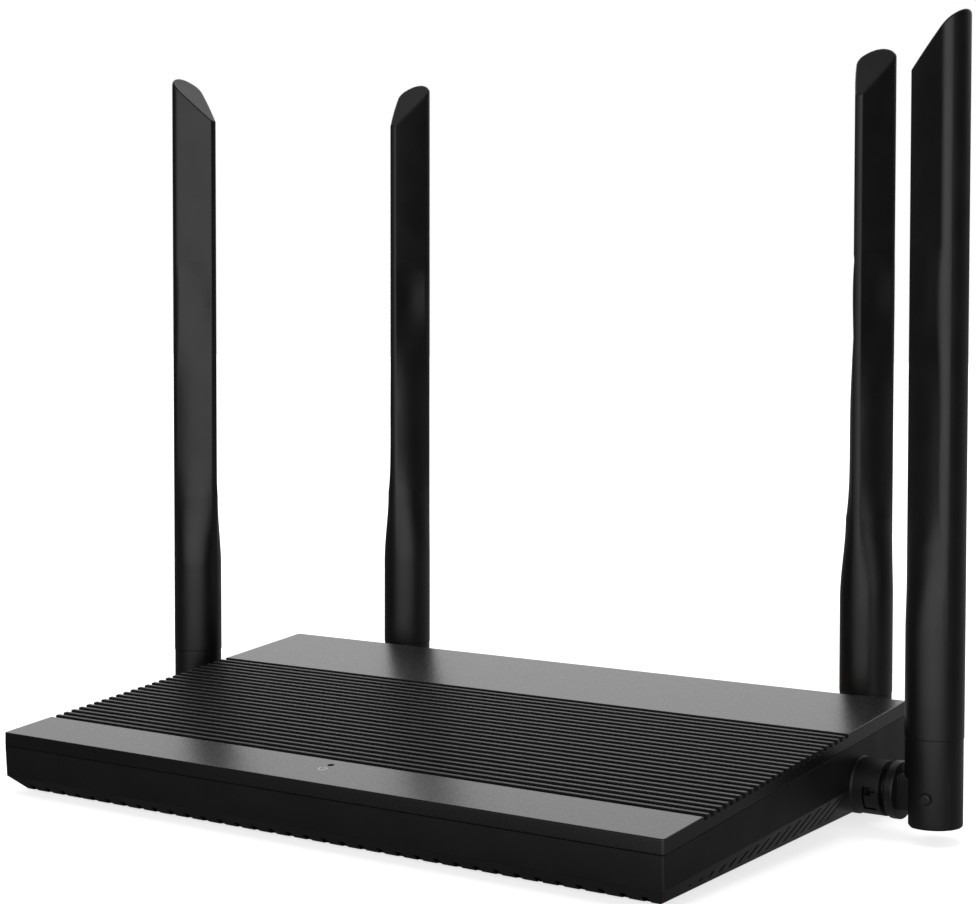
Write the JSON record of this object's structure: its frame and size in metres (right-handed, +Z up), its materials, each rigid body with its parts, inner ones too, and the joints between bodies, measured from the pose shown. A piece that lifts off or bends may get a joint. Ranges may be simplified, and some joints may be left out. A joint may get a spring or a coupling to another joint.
{
  "type": "wireless router",
  "caption": "Black wireless router: flat wedge-shaped case with a ribbed lid, vented chamfers and hinged blade antennas at the sides and the rear.",
  "frame": {"origin": "on the surface the feet stand on, below the middle of the whole router with its antennas upright", "axes": "+X to the right as seen from the front, +Y from the front edge to the rear, +Z up"},
  "size_m": [0.2516, 0.1494, 0.1958],
  "materials": {
    "case_plastic": "fine matt texture",
    "lid_plastic": "fine satin texture",
    "antenna_plastic": "satin",
    "swivel_plastic": "satin",
    "hinge_pin_plastic": "gloss",
    "foot_rubber": "matt",
    "screw_steel": "zinc plated",
    "board_laminate": "solder mask",
    "chip_plastic": "moulded",
    "sink_aluminium": "extruded",
    "shield_steel": "tin plated",
    "capacitor_sleeve": "shrink sleeve",
    "lamp_plastic": "clear epoxy",
    "clear_plastic": "smoked",
    "wan_plastic": "moulded",
    "lan_plastic": "moulded",
    "contact_brass": "gold plated",
    "plug_brass": "gold plated",
    "radiator_brass": "bare",
    "socket_plastic": "moulded",
    "pin_steel": "nickel plated",
    "button_plastic": "satin",
    "lead_jacket": "smooth"
  },
  "bodies": {
    "case": {"bottom_case": "case_plastic", "top_cover": "lid_plastic", "rubber_feet": "foot_rubber", "case_screws": "screw_steel", "main_board": "board_laminate", "board_screws": "screw_steel", "processor": "chip_plastic", "heat_sink": "sink_aluminium", "radio_shield": "shield_steel", "memory_chip": "chip_plastic", "port_transformers": "chip_plastic", "capacitors": "capacitor_sleeve", "status_lamp": "lamp_plastic", "light_pipe": "clear_plastic", "wan_jack": "wan_plastic", "lan_jack_1": "lan_plastic", "lan_jack_2": "lan_plastic", "lan_jack_3": "lan_plastic", "lan_jack_4": "lan_plastic", "jack_contacts": "contact_brass", "power_jack": "socket_plastic", "power_pin": "pin_steel", "button_switch": "socket_plastic", "coax_plugs": "plug_brass", "lead_right_side": "lead_jacket", "lead_left_side": "lead_jacket", "lead_rear_right": "lead_jacket", "lead_rear_left": "lead_jacket"},
    "button": {"push_button": "button_plastic"},
    "swivel_right_side": {"swivel_right_side": "swivel_plastic"},
    "antenna_right_side": {"sleeve_right_side": "antenna_plastic", "blade_right_side": "antenna_plastic", "radiator_right_side": "radiator_brass", "pin_right_side": "hinge_pin_plastic"},
    "swivel_left_side": {"swivel_left_side": "swivel_plastic"},
    "antenna_left_side": {"sleeve_left_side": "antenna_plastic", "blade_left_side": "antenna_plastic", "radiator_left_side": "radiator_brass", "pin_left_side": "hinge_pin_plastic"},
    "swivel_rear_right": {"swivel_rear_right": "swivel_plastic"},
    "antenna_rear_right": {"sleeve_rear_right": "antenna_plastic", "blade_rear_right": "antenna_plastic", "radiator_rear_right": "radiator_brass", "pin_rear_right": "hinge_pin_plastic"},
    "swivel_rear_left": {"swivel_rear_left": "swivel_plastic"},
    "antenna_rear_left": {"sleeve_rear_left": "antenna_plastic", "blade_rear_left": "antenna_plastic", "radiator_rear_left": "radiator_brass", "pin_rear_left": "hinge_pin_plastic"}
  },
  "joints": [
    {"name": "right_side_swivel", "type": "hinge", "parent": "case", "child": "swivel_right_side", "pos_m": [0.1188, 0.0185, 0.0112], "axis": [1, 0, 0], "range_deg": [-90, 90]},
    {"name": "right_side_tilt", "type": "hinge", "parent": "swivel_right_side", "child": "antenna_right_side", "pos_m": [0.1197, 0.0185, 0.0112], "axis": [0, 1, 0], "range_deg": [0, 90]},
    {"name": "left_side_swivel", "type": "hinge", "parent": "case", "child": "swivel_left_side", "pos_m": [-0.1188, 0.0185, 0.0112], "axis": [-1, 0, 0], "range_deg": [-90, 90]},
    {"name": "left_side_tilt", "type": "hinge", "parent": "swivel_left_side", "child": "antenna_left_side", "pos_m": [-0.1197, 0.0185, 0.0112], "axis": [0, -1, 0], "range_deg": [0, 90]},
    {"name": "rear_right_swivel", "type": "hinge", "parent": "case", "child": "swivel_rear_right", "pos_m": [0.0773, 0.0677, 0.0112], "axis": [0, 1, 0], "range_deg": [-45, 90]},
    {"name": "rear_right_tilt", "type": "hinge", "parent": "swivel_rear_right", "child": "antenna_rear_right", "pos_m": [0.0773, 0.0686, 0.0112], "axis": [-1, 0, 0], "range_deg": [0, 90]},
    {"name": "rear_left_swivel", "type": "hinge", "parent": "case", "child": "swivel_rear_left", "pos_m": [-0.0773, 0.0677, 0.0112], "axis": [0, 1, 0], "range_deg": [-90, 45]},
    {"name": "rear_left_tilt", "type": "hinge", "parent": "swivel_rear_left", "child": "antenna_rear_left", "pos_m": [-0.0773, 0.0686, 0.0112], "axis": [-1, 0, 0], "range_deg": [0, 90]},
    {"name": "button_press", "type": "slide", "parent": "case", "child": "button", "axis": [0, -1, 0], "range_m": [0, 0.0005], "stiffness_N_per_m": 3200}
  ]
}
